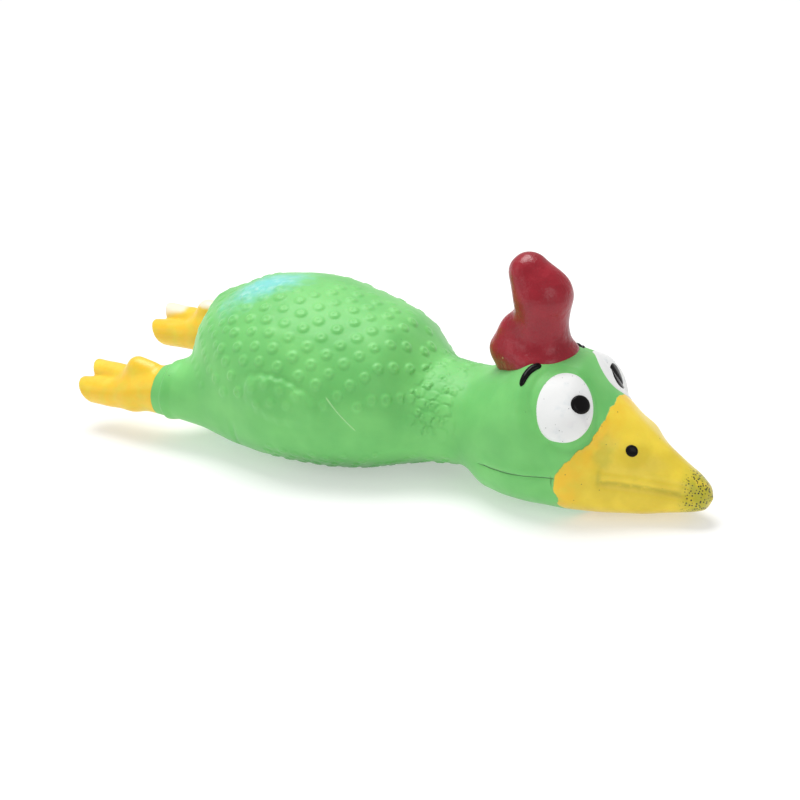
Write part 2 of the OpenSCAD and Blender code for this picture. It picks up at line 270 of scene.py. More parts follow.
def bird_field(step):
    """The whole latex moulding without the comb. All but the legs and feet is even about y = 0."""
    margin = 3 * step
    x = np.arange(-LENGTH / 2 - margin - 2, LENGTH / 2 + margin, step, dtype=np.float32)
    y = np.arange(0, BODY_WIDTH / 2 + margin + 2, step, dtype=np.float32)
    z = np.arange(-margin, BODY_HEIGHT + margin + 1, step, dtype=np.float32)
    field = trunk_field(x, y, z, step)

    def part(rows, across):
        return x[rows, None, None], across[None, :, None], z[None, None, :]

    rear = x < HIP[0] + HIP_R + 12
    tail = ellipsoid(part(rear, y), [-67.6 * K, 0, 45.2], [6.5, 7.5, 5.5])
    field[rear] = join(field[rear], tail, 3.0)
    face = (x > 52) & (x < 90)
    eye_rise = np.array([-.6, -1.2, 1.5])
    eye_ball = np.array([69.2 * K, 13.5, 35.4])
    dome = round_cone(part(face, y), eye_ball - eye_rise, eye_ball + eye_rise, 10.2, 10.2)
    field[face] = join(field[face], dome, 3.0)

    halves = {}
    for side, sign in SIDES.items():
        half = field.copy()
        way = np.array([1, sign, 1])
        ankle = ANKLE * way + FOOT_SHIFT[side]
        leg = round_cone(part(rear, y * sign), HIP * way, ankle + [-9, 0, -1.5], HIP_R - 1.5, ANKLE_R - .9)
        half[rear] = join(half[rear], leg, 5.0)
        end = x < ANKLE_X + 16
        half[end] = join(half[end], foot_field(part(end, y * sign), ankle), 1.0)
        halves[side] = half
    whole = np.concatenate([halves["right"][:, :0:-1], halves["left"]], axis=1)
    across = np.concatenate([-y[:0:-1], y])

    whole = overlap(whole, -z[None, None, :], 2.0)
    middle = np.abs(x - SQUEAKER_X) < RECESS_R + 4
    for hole, edge in zip(squeaker_port(*part(middle, across)), (.8, .4)):
        whole[middle] = overlap(whole[middle], -hole, edge)
    return whole.astype(np.float32), np.array([x[0], -y[-1], z[0]], float)


def comb_field(step, head):
    """The comb's two lobes, as balls joined in a row, on the same foot."""
    foot_z = HEAD_HEIGHT - 3
    top = box_mm("comb")[1][2]
    rise = top - foot_z
    mid = 55 * K
    x = np.arange(mid - 22, mid + 20, step)
    y = np.arange(-14, 14 + step, step)
    z = np.arange(foot_z - 12, top + 3, step)
    grid = (x[:, None, None], y[None, :, None], z[None, None, :])

    def at(along, up):
        return np.array([mid + along, 0, foot_z + up])

    root, waist, bulge = at(1.5, -1), at(.2, .30 * rise), at(.3, .58 * rise)
    tip = at(-4.9, rise - 7.6)
    tall = join(round_cone(grid, root, waist, 9.4, 8.3), round_cone(grid, waist, bulge, 8.3, 9.5), 3)
    tall = join(tall, round_cone(grid, bulge, tip, 9.0, 7.2), 4)
    rear, lobe = at(-9.9, -.2), at(-8.3, .17 * rise)
    low = join(round_cone(grid, rear, root, 7.3, 9.4), round_cone(grid, rear, lobe, 7.3, 6.5), 3)
    low = join(low, round_cone(grid, lobe, at(-2, .2 * rise), 6.5, 6.2), 3)
    skirt = ellipsoid(grid, at(-3.0, .3), [12.7, 11.8, 6.0])
    field = join(join(tall, low, 4.5), skirt, 3.0)
    start = np.array([x[0], y[0], z[0]])
    points = np.stack(np.broadcast_arrays(*grid), -1).reshape(-1, 3)
    ground = head.sample(points).reshape(field.shape)
    field = field - .8 * bell(np.maximum(ground, 0), 0, 1.8)
    return overlap(field, -(ground + 1.2), .5), start


class Field:
    """A signed distance kept on an even grid."""

    def __init__(self, values, origin, step):
        self.values = values
        self.origin = np.asarray(origin, float)
        self.step = step

    def sample(self, points):
        place = (points - self.origin) / self.step
        cell = np.clip(np.floor(place).astype(int), 0, np.array(self.values.shape) - 2)
        part = np.clip(place - cell, 0, 1)
        total = np.zeros(len(points))
        for corner in np.ndindex(2, 2, 2):
            weight = np.prod(np.where(corner, part, 1 - part), axis=1)
            total += weight * self.values[tuple((cell + corner).T)]
        return total

    def normal(self, points):
        slope = np.empty_like(points)
        for axis in range(3):
            shift = np.zeros(3)
            shift[axis] = self.step
            slope[:, axis] = self.sample(points + shift) - self.sample(points - shift)
        return slope / np.maximum(np.linalg.norm(slope, axis=1), 1e-9)[:, None]

    def surface(self, settle=3):
        """Quads of the zero level: one point in each cell that the surface crosses."""
        values = self.values
        inside = values < 0
        count = np.zeros(np.array(values.shape) - 1, np.int8)
        for i, j, k in np.ndindex(2, 2, 2):
            count += inside[i:i + count.shape[0], j:j + count.shape[1], k:k + count.shape[2]]
        crossed = (count > 0) & (count < 8)
        index = np.full(crossed.shape, -1, np.int32)
        cells = np.argwhere(crossed)
        index[crossed] = np.arange(len(cells))
        total = np.zeros((len(cells), 3))
        hits = np.zeros(len(cells))
        for axis in range(3):
            for i, j in np.ndindex(2, 2):
                start = np.insert([i, j], axis, 0)
                end = start.copy()
                end[axis] = 1
                a = values[tuple((cells + start).T)].astype(float)
                b = values[tuple((cells + end).T)].astype(float)
                cuts = (a < 0) != (b < 0)
                t = np.where(cuts, a / np.where(cuts, a - b, 1), 0)
                place = cells + start + t[:, None] * (end - start)
                total[cuts] += place[cuts]
                hits += cuts
        points = self.origin + self.step * total / hits[:, None]
        for _ in range(settle):
            distance = self.sample(points)
            points = points - .9 * np.clip(distance, -self.step, self.step)[:, None] * self.normal(points)
        return points, self.quads(inside, index)

    @staticmethod
    def quads(inside, index):
        faces = []
        for axis in range(3):
            first, second = [a for a in range(3) if a != axis]
            low = np.take(inside, np.arange(inside.shape[axis] - 1), axis)
            high = np.take(inside, np.arange(1, inside.shape[axis]), axis)
            edges = np.argwhere(low != high)
            rising = low[tuple(edges.T)]
            clear = (edges[:, first] > 0) & (edges[:, second] > 0)
            edges, rising = edges[clear], rising[clear]
            ring = []
            for a, b in ((1, 1), (0, 1), (0, 0), (1, 0)):
                cell = edges.copy()
                cell[:, first] -= a
                cell[:, second] -= b
                ring.append(index[tuple(cell.T)])
            quad = np.stack(ring, 1)
            if axis == 1:
                rising = ~rising
            quad[~rising] = quad[~rising][:, ::-1]
            faces.append(quad)
        return np.concatenate(faces)


# ---- Relief of the moulded skin ----

class Relief:
    """Heights, in mm, that are added to the skin's points along their normals."""

    def __init__(self, points):
        self.points = points
        self.side = np.abs(points[:, 1])
        self.order = np.argsort(points[:, 0])
        self.sorted_x = points[self.order, 0]
        self.height = np.zeros(len(points))
        self.pebble = np.zeros(len(points))

    def near(self, place, radius):
        low, high = np.searchsorted(self.sorted_x, [place[0] - radius, place[0] + radius])
        chosen = self.order[low:high]
        away = self.points[chosen] - place
        keep = (away**2).sum(1) < radius**2
        return chosen[keep], away[keep]

    def raise_pebble(self, place, radius, height):
        """Low round dome with a slight dimple in its middle."""
        chosen, away = self.near(place, radius * 1.35)
        r = np.sqrt((away**2).sum(1)) / radius
        dome = (1 - smooth(.40, 1.1, r)) - .45 * bell(r, 0, .38)
        self.pebble[chosen] = np.maximum(self.pebble[chosen], height * dome)

    def raise_scale(self, place, radius, height):
        """Half round feather scale: it climbs towards the head and drops at a sharp front edge."""
        chosen, away = self.near(place, radius * 1.3)
        along = away[:, 0] / radius
        r = np.sqrt((away**2).sum(1)) / radius
        climb = smooth(-1.1, .7, along)
        edge = 1 - smooth(.80, 1.0, r)
        ditch = -.12 * smooth(0, .5, along) * bell(r, 1.1, .13)
        self.pebble[chosen] = np.where(edge > 0, np.maximum(self.pebble[chosen], height * climb * edge),
                                       np.minimum(self.pebble[chosen], height * ditch))

    def add(self, amount):
        self.height += amount


def girth(x):
    """Points of the trunk's section at x, from the top down to the bottom, and the skin's length to each."""
    low, high, half, share, above, below = (float(along_trunk(np.array([x]), c)[0]) for c in range(1, 7))
    middle = low + (high - low) * share
    angle = np.radians(np.linspace(90, -90, 121))
    sine, cosine = np.sin(angle), np.abs(np.cos(angle))
    power = np.where(sine > 0, above, below)
    reach = np.where(sine > 0, high - middle, middle - low)
    y = half * cosine ** (2 / power)
    z = middle + reach * np.sign(sine) * np.abs(sine) ** (2 / power)
    length = np.concatenate([[0], np.cumsum(np.hypot(np.diff(y), np.diff(z)))])
    return y, z, length


def rows_of_seeds(x_from, x_to, gap_x, gap_round, first, rng, jitter):
    """Staggered rows along the body, each a fixed length of skin away from the ridge of the back."""
    for side in SIDES.values():
        for row in range(40):
            around = first + row * gap_round
            start = x_from + (row % 2) * gap_x / 2
            for x in np.arange(start, x_to, gap_x):
                x = x + rng.uniform(-jitter, jitter)
                y, z, length = girth(x)
                place = around + rng.uniform(-jitter, jitter) * .7
                if place < length[-1] - 2:
                    yield np.array([x, side * np.interp(place, length, y), np.interp(place, length, z)])


def pebble_floor(x):
    """Height below which the flank is smooth."""
    return np.interp(x, [-78, -60, -44, -12, 6, 16, 28], [30, 26, 27.5, 31, 28, 24, 20])


def wing_ratio(points):
    """Below 1 inside the wing's oval outline on the flank."""
    tilt = math.radians(-13)
    along, up = points[:, 0] + 27 * K, points[:, 2] - 30.2
    u = along * math.cos(tilt) + up * math.sin(tilt)
    v = -along * math.sin(tilt) + up * math.cos(tilt)
    return np.hypot(u / 14.5, v / 7.6), v


def back_dots(relief, rng):
    """Dots on the back and flanks. The rump's ridge and the left shoulder are smoother."""
    for place in rows_of_seeds(-54 * K, 27 * K, 7.3, 5.5, 2.9, rng, .45):
        margin = place[2] - pebble_floor(place[0])
        rear = 1 - smooth(-34, -22, place[0])
        if place[1] < 0:
            share = 1 - rear * (1 - smooth(1.5, 7, -place[1]))
        else:
            share = smooth(19, 26, place[1]) + (1 - rear) * (1 - smooth(5, 12, place[1]))
        strength = smooth(-2.5, 2.5, margin) * share * rng.uniform(.7, 1.05)
        if strength > .1 and wing_ratio(place[None])[0][0] > 1.12:
            relief.raise_pebble(place, rng.uniform(2.1, 2.45), .74 * strength)


def rump_dots(relief, rng):
    """Smaller and lower dots, closer together."""
    for place in rows_of_seeds(-76 * K, -54 * K, 5.2, 4.4, 2.9, rng, .6):
        if place[2] > pebble_floor(place[0]):
            relief.raise_pebble(place, rng.uniform(1.7, 2.2), rng.uniform(.22, .42))


def neck_scales(relief, rng):
    """Scales that end in a wavy line in front and grow lower towards the top of the neck."""
    for place in rows_of_seeds(15 * K, 31 * K, 4.3, 3.9, 6.5, rng, .9):
        margin = place[2] - pebble_floor(place[0])
        if margin > -1 and place[0] < 29.5 + 1.2 * math.sin(.55 * place[2]):
            size, height = rng.uniform(1.9, 3.0), rng.uniform(.25, .5)
            relief.raise_scale(place, size, height * (1 - .5 * smooth(31, 36, place[2])))


def belly_dots(relief, rng):
    """Small dots under the breast, where the body curves in below a height of 12.5 mm."""
    for place in rows_of_seeds(-34 * K, 29 * K, 4.6, 4.2, 1.5, rng, .6):
        if place[2] < 12.5:
            strength = smooth(0, 3, place[2]) * rng.uniform(.5, 1)
            relief.raise_pebble(place, rng.uniform(1.5, 2.1), .5 * strength)


def wings(relief):
    """A flat oval on each flank, crisp above and fading out below, with a few dots on it."""
    inside, up = wing_ratio(relief.points)
    inside = inside + .03 * np.sin(1.5 * relief.points[:, 0])
    crisp = 1 - smooth(.82, 1.04, inside)
    soft = 1 - smooth(.6, 1.15, inside)
    plate = soft + (crisp - soft) * smooth(-3.5, 2.5, up)
    rim = bell(inside, .90, .08) * smooth(-1, 4, up)
    moat = bell(inside, 1.10, .08) * smooth(-2, 4, up)
    relief.add(smooth(20, 26, relief.side) * (plate + .05 * rim - .22 * moat))
    seeds = ((-37, 33.5), (-32, 35.5), (-26, 34.5), (-20, 33.5), (-29, 30), (-23, 30), (-34.5, 28.5))
    for seed_x, seed_z in seeds:
        y, z, _ = girth(seed_x)
        widest = np.argmax(y)
        arc = slice(widest, None) if seed_z < z[widest] else slice(0, widest + 1)
        across = np.interp(-seed_z, -z[arc], y[arc]) + .8
        for sign in SIDES.values():
            relief.raise_pebble(np.array([seed_x, sign * across, seed_z]), 2.3, .5)


def mould_relief(points):
    """Height of the relief at each point, and the part of it that dots and scales make."""
    rng = np.random.default_rng(11)
    relief = Relief(points)
    for pattern in (back_dots, rump_dots, neck_scales, belly_dots):
        pattern(relief, rng)
    wings(relief)
    x, z, side = points[:, 0], points[:, 2], relief.side
    groin_fold = bell(x - .12 * (z - 10), -47.5, 1.1) * smooth(27, 32, side) * smooth(20, 14, z)
    relief.add(-.55 * groin_fold)
    relief.add(head_relief(points, side))
    return relief.height + relief.pebble + lumps(points, 9.0) * .25, relief.pebble


def eye_ratio(points, side):
    """Below 1 inside the eye's oval, with the bird's left mirrored onto its right."""
    away = np.stack([points[:, 0], side, points[:, 2]], 1) - EYE_CENTRE
    return np.hypot(away @ EYE_FORWARD / EYE_HALF_WIDE, away @ EYE_UP / EYE_HALF_HIGH), away


def mouth_height(x):
    return np.interp(x, [40, 52, 62, 74], [16.0, 16.2, 16.3, 17.6])


def lip_height(x):
    return np.interp(x, [84, 98, 110, 118], [16.4, 13.6, 11.8, 10.4])


def head_relief(points, side):
    """Mouth line and cheek, lip of the bill, mound under the nostril, eye socket and brow."""
    x, z = points[:, 0], points[:, 2]
    mouth = smooth(41, 46, x) * (1 - smooth(71.5, 73.5, x)) * smooth(14, 20, side)
    height = mouth * (.30 * bell(z, mouth_height(x) + 2.2, 1.8) - .34 * bell(z, mouth_height(x), .6))
    lip = smooth(83, 88, x) * (1 - smooth(111, 117, x)) * smooth(1, 4, side)
    height += lip * (.60 * bell(z, lip_height(x) + 3.0, 2.2) - .75 * bell(z, lip_height(x), 1.3))
    mound = NOSTRIL + [.6, -1.2, .8]
    height += 1.5 * bell(np.linalg.norm(np.stack([x, side, z], 1) - mound, axis=1), 0, 4.675)
    inside_eye, away = eye_ratio(points, side)
    front = np.linalg.norm(away, axis=1) < 24
    behind = smooth(0, 9, -(away @ EYE_FORWARD)) * smooth(-14, -4, away @ EYE_UP)
    socket = -.55 * bell(inside_eye, 1.13, .10) + .6 * behind * bell(inside_eye, 1.55, .22)
    return height + front * socket


def lumps(points, size):
    """Slow unevenness of a hand-finished moulding, from -1 to 1."""
    total = np.zeros(len(points))
    rng = np.random.default_rng(5)
    for _ in range(7):
        direction = unit(rng.normal(size=3))
        turns_per_mm = 2 * math.pi / (size * rng.uniform(.8, 2.2))
        total += np.sin(points @ direction * turns_per_mm + rng.uniform(0, 6))
    return total / 7


# ---- Meshes and pieces ----

def point_normals(points, quads):
    cross = np.cross(points[quads[:, 2]] - points[quads[:, 0]], points[quads[:, 3]] - points[quads[:, 1]])
    normals = np.zeros_like(points)
    for corner in range(4):
        np.add.at(normals, quads[:, corner], cross)
    return normals / np.maximum(np.linalg.norm(normals, axis=1), 1e-12)[:, None]


def show(name, data):
    """Puts a mesh, lamp or camera into the scene."""
    thing = bpy.data.objects.new(name, data)
    bpy.context.scene.collection.objects.link(thing)
    return thing


def make_piece(name, points, faces, normals=None, pebble=None):
    """A mesh object from points in mm, which keeps each point's place at rest for the materials."""
    mesh = bpy.data.meshes.new(name)
    mesh.from_pydata((points * MM).tolist(), [], [list(map(int, f)) for f in faces])
    mesh.validate()
    mesh.shade_smooth()
    attribute = mesh.attributes.new("rest", "FLOAT_VECTOR", "POINT")
    attribute.data.foreach_set("vector", points.astype(np.float32).ravel())
    if pebble is not None:
        attribute = mesh.attributes.new("pebble", "FLOAT", "POINT")
        attribute.data.foreach_set("value", pebble.astype(np.float32))
    if normals is not None:
        mesh.normals_split_custom_set_from_vertices(normals.tolist())
    return show(name, mesh)


def renumber(quads):
    """The points that some quads use, and the quads numbered by them."""
    used, flat = np.unique(quads, return_inverse=True)
    return used, flat.reshape(quads.shape)


def rim_edges(quads):
    """Directed edges of the quads that no other quad runs back along."""
    edges = np.concatenate([quads[:, [i, (i + 1) % 4]] for i in range(4)])
    size = int(quads.max()) + 1
    forward = edges[:, 0].astype(np.int64) * size + edges[:, 1]
    backward = edges[:, 1].astype(np.int64) * size + edges[:, 0]
    return edges[~np.isin(forward, backward)]


class Skin:
    """The whole moulded surface, which is cut into pieces that fit each other exactly."""

    def __init__(self, field):
        base, self.quads = field.surface()
        self.inward = -field.normal(base)
        height, self.pebble = mould_relief(base)
        self.points = base - self.inward * height[:, None]
        self.points[:, 2] = np.maximum(self.points[:, 2], 0)
        self.normals = point_normals(self.points, self.quads)
        self.middles = self.points[self.quads].mean(1)

    def piece(self, name, chosen, thickness):
        """Cuts out the chosen quads. They get an inner wall, or a cap over the cut if thickness is None."""
        used, quads = renumber(self.quads[chosen])
        points, normals = self.points[used], self.normals[used]
        faces = quads.tolist()
        rim = rim_edges(quads)
        count = len(used)
        pebble = self.pebble[used]
        if thickness is None:
            loop = np.unique(rim)
            points = np.vstack([points, points[loop].mean(0)])
            normals = np.vstack([normals, [1, 0, 0]])
            pebble = np.append(pebble, 0)
            faces += [[b, a, count] for a, b in rim.tolist()]
        else:
            thinner_at_tip = 1 - .55 * smooth(104, 118, points[:, 0])
            depth = thickness * thinner_at_tip
            inner = points + self.inward[used] * depth[:, None]
            points = np.vstack([points, inner])
            normals = np.vstack([normals, self.inward[used]])
            pebble = np.tile(pebble, 2)
            faces += (quads[:, ::-1] + count).tolist()
            faces += [[b, a, a + count, b + count] for a, b in rim.tolist()]
        return make_piece(name, points, faces, normals, pebble)


class Ground:
    """The finished head, for laying painted details on it."""

    def __init__(self, skin, from_x):
        used, quads = renumber(skin.quads[skin.middles[:, 0] > from_x])
        self.tree = BVHTree.FromPolygons(skin.points[used].tolist(), quads.tolist())

    def hit(self, point, outward, reach=14.0):
        """Where the head meets a line that comes in along the outward direction, and its normal there."""
        outward = Vector(outward).normalized()
        place, normal, _, _ = self.tree.ray_cast(Vector(point) + outward * reach, -outward, 3 * reach)
        if place is None:
            place, normal, _, _ = self.tree.find_nearest(Vector(point))
        if normal.dot(outward) < 0:
            normal = -normal
        return np.array(place), np.array(normal)


def closed_tube(name, rings):
    """Closed skin over a row of rings that have equally many points, with a cap at either end."""
    rows, columns, _ = rings.shape
    faces = []
    for row in range(rows - 1):
        for column in range(columns):
            a, b = row * columns + column, row * columns + (column + 1) % columns
            faces.append([a, b, b + columns, a + columns])
    faces.append(list(range(columns))[::-1])
    faces.append([(rows - 1) * columns + column for column in range(columns)])
    return make_piece(name, rings.reshape(-1, 3), faces)


def oval_patch(name, ground, side, centre, forward, up, half_wide, half_high, lift, egg=0.0, rings=16):
    """Raised oval of thick paint that follows the head, with a rounded edge."""
    columns = 72
    mirror = np.array([1, side, 1])
    outward = unit(np.cross(up, forward))
    if outward[1] < 0:
        outward = -outward
    tops, bottoms = [], []
    for r in np.linspace(.04, 1, rings):
        height = lift * math.sqrt(max(0.0, 1 - r**6)) - .12 * (r > .999)
        for c in range(columns):
            angle = 2 * math.pi * c / columns
            wide = half_wide * (1 + egg * math.sin(angle))
            flat = centre + forward * wide * r * math.cos(angle) + up * half_high * r * math.sin(angle)
            place, normal = ground.hit(flat * mirror, outward * mirror)
            tops.append(place + normal * height)
            bottoms.append(place - normal * .5)
    tops, bottoms = (np.array(points).reshape(rings, columns, 3) for points in (tops, bottoms))
    return closed_tube(name, np.concatenate([tops, bottoms[::-1]]))


def curve_point(ends, t):
    """Point of the quadratic curve that starts, bends and ends at three points."""
    a, b, c = (np.asarray(p, float) for p in ends)
    return (1 - t)**2 * a + 2 * t * (1 - t) * b + t**2 * c


def brush_stroke(name, ground, ends, width, lift):
    """Stroke of thick paint with round ends, laid on the crown along a curve given in plan."""
    stations, around = 28, 16
    points = []
    for i in range(stations):
        t = i / (stations - 1)
        spot = curve_point(ends, t)
        ahead = curve_point(ends, min(1, t + .02)) - curve_point(ends, max(0, t - .02))
        across = unit([-ahead[1], ahead[0], 0])
        fade = math.sqrt(max(.02, 1 - abs(2 * t - 1)**7)) * (.82 + .18 * math.sin(math.pi * t))
        for j in range(around):
            angle = 2 * math.pi * j / around
            offset = across * width / 2 * fade * math.cos(angle)
            start = np.array([spot[0] + offset[0], spot[1] + offset[1], HEAD_HEIGHT])
            place, normal = ground.hit(start, (0, 0, 1))
            height = lift * fade * math.sin(angle) if math.sin(angle) > 0 else .5 * math.sin(angle)
            points.append(place + normal * height)
    return closed_tube(name, np.array(points).reshape(stations, around, 3))


# ---- Materials ----

def tint(red, green, blue):
    """Screen colour from 0 to 255 as a linear colour."""
    linear = [(c / 255 / 12.92) if c <= 10 else ((c / 255 + .055) / 1.055) ** 2.4 for c in (red, green, blue)]
    return (*linear, 1.0)


class Wire:
    """A number that runs between a material's nodes. Its sums and products are nodes too."""

    def __init__(self, paint, socket):
        self.paint = paint
        self.socket = socket

    def __add__(self, other):
        return self.paint.math("ADD", self, other)

    def __sub__(self, other):
        return self.paint.math("SUBTRACT", self, other)

    def __mul__(self, other):
        return self.paint.math("MULTIPLY", self, other)

    def __neg__(self):
        return self * -1.0


class Paint:
    """Short calls that build one node material."""

    def __init__(self, name, **constants):
        self.material = bpy.data.materials.new(name)
        self.material.use_nodes = True
        self.tree = self.material.node_tree
        self.tree.nodes.clear()
        self.shader = self.node("BsdfPrincipled", **constants)
        self.node("OutputMaterial", Surface=self.shader.outputs[0])
        self.place = self.attribute("rest")["Vector"]
        split = self.node("SeparateXYZ", Vector=self.place)
        self.x, self.y, self.z = (Wire(self, socket) for socket in split.outputs)
        self.side = self.math("ABSOLUTE", self.y)

    def node(self, kind, **inputs):
        """A new node. An underscore in an input's name stands for a space."""
        node = self.tree.nodes.new("ShaderNode" + kind)
        for name, value in inputs.items():
            self.put(value, node.inputs[name.replace("_", " ")])
        return node

    def put(self, value, socket):
        """Feeds an input from another node, or sets it to a constant."""
        if isinstance(value, Wire):
            value = value.socket
        if isinstance(value, bpy.types.NodeSocket):
            self.tree.links.new(value, socket)
        else:
            socket.default_value = value

    def attribute(self, name):
        node = self.node("Attribute")
        node.attribute_name = name
        return node.outputs

    def math(self, operation, a, b=0.0):
        node = self.node("Math")
        node.operation = operation
        self.put(a, node.inputs[0])
        self.put(b, node.inputs[1])
        return Wire(self, node.outputs[0])

    def highest(self, a, b):
        return self.math("MAXIMUM", a, b)

    def length(self, a, b):
        """Length of a slope that runs a one way and b the other."""
        return self.math("SQRT", a * a + b * b)

    def step(self, value, low, high):
        """0 up to low and 1 from high, or the other way round when low is above high."""
        flipped = low > high
        node = self.node("MapRange", Value=value, From_Min=min(low, high), From_Max=max(low, high),
                         To_Min=1.0 if flipped else 0.0, To_Max=0.0 if flipped else 1.0)
        node.interpolation_type = "SMOOTHSTEP"
        return Wire(self, node.outputs["Result"])

    def near(self, value, centre, width):
        """1 where the value is at the centre, fading to 0 at the width to either side."""
        return self.step(self.math("ABSOLUTE", value - centre), width, 0.0)

    def noise(self, size, detail=2.0, roughness=.5, at=None):
        """Soft noise from about -1 to 1, whose features are about size mm across."""
        node = self.node("TexNoise", Vector=self.place if at is None else at, Scale=1.0 / size,
                         Detail=detail, Roughness=roughness)
        return (Wire(self, node.outputs["Fac"]) - .5) * 2.6

    def stretched(self, *factors):
        """The rest place with each direction stretched, for streaky noise."""
        node = self.node("VectorMath")
        node.operation = "MULTIPLY"
        self.put(self.place, node.inputs[0])
        self.put(factors, node.inputs[1])
        return node.outputs[0]

    def specks(self, gap, radius, share):
        """Small dots, one at most to each patch of gap mm, in the given share of the patches."""
        node = self.node("TexVoronoi", Vector=self.place, Scale=1.0 / gap)
        dot = self.step(node.outputs["Distance"], radius / gap * 1.25, radius / gap * .7)
        split = self.node("SeparateColor", Color=node.outputs["Color"])
        return dot * self.math("LESS_THAN", split.outputs[0], share)

    def mix(self, factor, a, b):
        node = self.node("Mix")
        node.data_type = "RGBA"
        for value, socket in ((factor, 0), (a, 6), (b, 7)):
            self.put(value, node.inputs[socket])
        return node.outputs[2]

    def over(self, under, cover, *screen):
        """A colour that is covered, where cover is 1, by a screen colour."""
        return self.mix(cover, under, tint(*screen))

    def finish(self, colour, height=None, roughness=None):
        """height is in mm."""
        self.put(colour, self.shader.inputs["Base Color"])
        if roughness is not None:
            self.put(roughness, self.shader.inputs["Roughness"])
        if height is not None:
            node = self.node("Bump", Strength=1.0, Distance=MM, Height=height)
            self.put(node.outputs["Normal"], self.shader.inputs["Normal"])
        return self.material


def rubbed_patch(p):
    """Where the green of the rump is rubbed to a pale blue: a leaning oval with a ragged edge."""
    across = p.y + 4.5
    along = p.x + 50.0 - across * .42
    far = p.math("SQRT", along * along * .26 + across * across * .17)
    return p.step(far + p.noise(5.0, 3) * 2.2, 8.2, .5)


def scratch_line(p, start, end, width):
    """1 along a thin raised line on the right flank, between two places given as x and z."""
    run, rise = end[0] - start[0], end[1] - start[1]
    length = math.hypot(run, rise)
    from_x, from_z = p.x - start[0], p.z - start[1]
    along = from_x * (run / length) + from_z * (rise / length)
    across = from_x * (rise / length) + from_z * (-run / length)
    inside = p.step(along, -.5, 1.0) * p.step(along, length + .5, length - 1.0)
    return p.near(across, 0.0, width) * inside * p.step(p.y, -20.0, -22.0)


def mouth_line(p):
    """Dark line of the mouth on the cheek, with a short upright stroke where it ends at the bill."""
    height = p.step(p.x, 52.0, 76.0) * 1.5 + 16.1 + p.noise(3.0) * .22
    line = p.near(p.z, height, .30) * p.step(p.x, 72.8, 72.0)
    corner = p.near(p.x, 71.5, .35) * p.near(p.z, 16.4, 3.4)
    mouth = p.highest(line, corner * .8)
    return mouth * p.step(p.side, 19.0, 23.0) * p.step(p.x, 42.0, 47.0) * p.step(p.noise(2.2), -1.1, -.3)


def green_skin(p, cloud, scratch, mouth, pits):
    pebble = Wire(p, p.attribute("pebble")["Fac"])
    green = p.mix(p.step(cloud, -.6, .8), tint(103, 190, 98), tint(122, 207, 112))
    # Painted highlight: the tops of the raised dots are painted a lighter green, where light would catch
    # them.
    green = p.over(green, p.step(pebble, .10, .45) * .16, 140, 220, 128)
    # Painted shade: below about 14 mm the breast and belly are painted a darker green, as if in shadow under
    # the body.
    belly = p.step(p.z, 14.0, 3.0) * p.step(p.x, -48.0, -14.0) * p.step(p.x, 38.0, 20.0)
    green = p.over(green, belly * .95, 60, 142, 58)
    blue = p.mix(p.step(p.noise(2.6), -.2, .9), tint(118, 208, 208), tint(176, 232, 228))
    green = p.mix(rubbed_patch(p) * .9, green, blue)
    green = p.over(green, scratch * .75, 178, 236, 162)
    green = p.over(green, mouth * .62, 38, 92, 40)
    return p.over(green, pits, 48, 104, 50)


def paint_edges(p):
    """How far, in mm, each place lies past the ragged edges of the yellow on the face and at the ankles."""
    wander = p.noise(4.5, 3) * .62 + p.noise(1.3) * .13
    cheek = p.near(p.z, 29.0, 17.0) * 2.2
    chin = p.step(p.z, 11.0, 4.0) * 2.6
    past_face = p.length(p.x - FACE_CURVE_X, p.y) - FACE_CURVE_R + wander - cheek + chin
    past_face = p.math("MINIMUM", past_face, p.x - (FACE_CURVE_X + 12))
    right_shift, left_shift = (float(FOOT_SHIFT[side][0]) for side in SIDES)
    shift = p.step(p.y, -1.0, 1.0) * (left_shift - right_shift) + right_shift
    past_ankle = -p.x + ANKLE_X + shift + wander * .45
    return past_face, past_ankle


def bill_marks(p):
    """Olive paint on the bill, as a spot and streaks on its flank, and painted shade along the groove of its
    lip, with a rear end.
    """
    olive_far = p.length(p.x - 86.0, (p.z - 25.5) * .62) + p.noise(4) * 1.6
    olive = p.step(olive_far, 4.2, 1.2) * p.step(p.side, 9.0, 12.0)
    streak = p.step(p.noise(7.0, at=p.stretched(.35, 1.0, 2.2)), .05, .8)
    streak = streak * p.near(p.z, 16.0, 8.0) * p.near(p.x, 95.0, 16.0)
    lip_z = p.x * -.18 + 31.5 + p.noise(3.0) * .3
    lip = p.near(p.z, lip_z, 1.5) * p.step(p.x, 85.0, 86.0) * p.step(p.x, 113.0, 109.0)
    rear = p.near(p.x, 85.6, 1.3) * p.near(p.z, 17.5, 5.0)
    # Painted shade: the lip line and its rear end are darkened where the upper bill overhangs the lower.
    lip_groove_shade = p.highest(lip, rear) * p.step(p.noise(2.0), -.9, .1) * p.step(p.side, 3.0, 6.0)
    return p.highest(olive, streak * .8), lip_groove_shade


def pale_nails(p):
    """The far foot's short toe and hind toe have pale ends."""
    toe_end = p.step(p.y, 27.0, 29.0) * p.step(p.x, -106.0, -109.5) * p.step(p.z, 13.0, 17.0)
    spur = p.step(p.y, 20.0, 22.0) * p.step(p.z, 29.5, 31.0) * p.step(p.x, -89.0, -91.5)
    return p.highest(toe_end, spur)


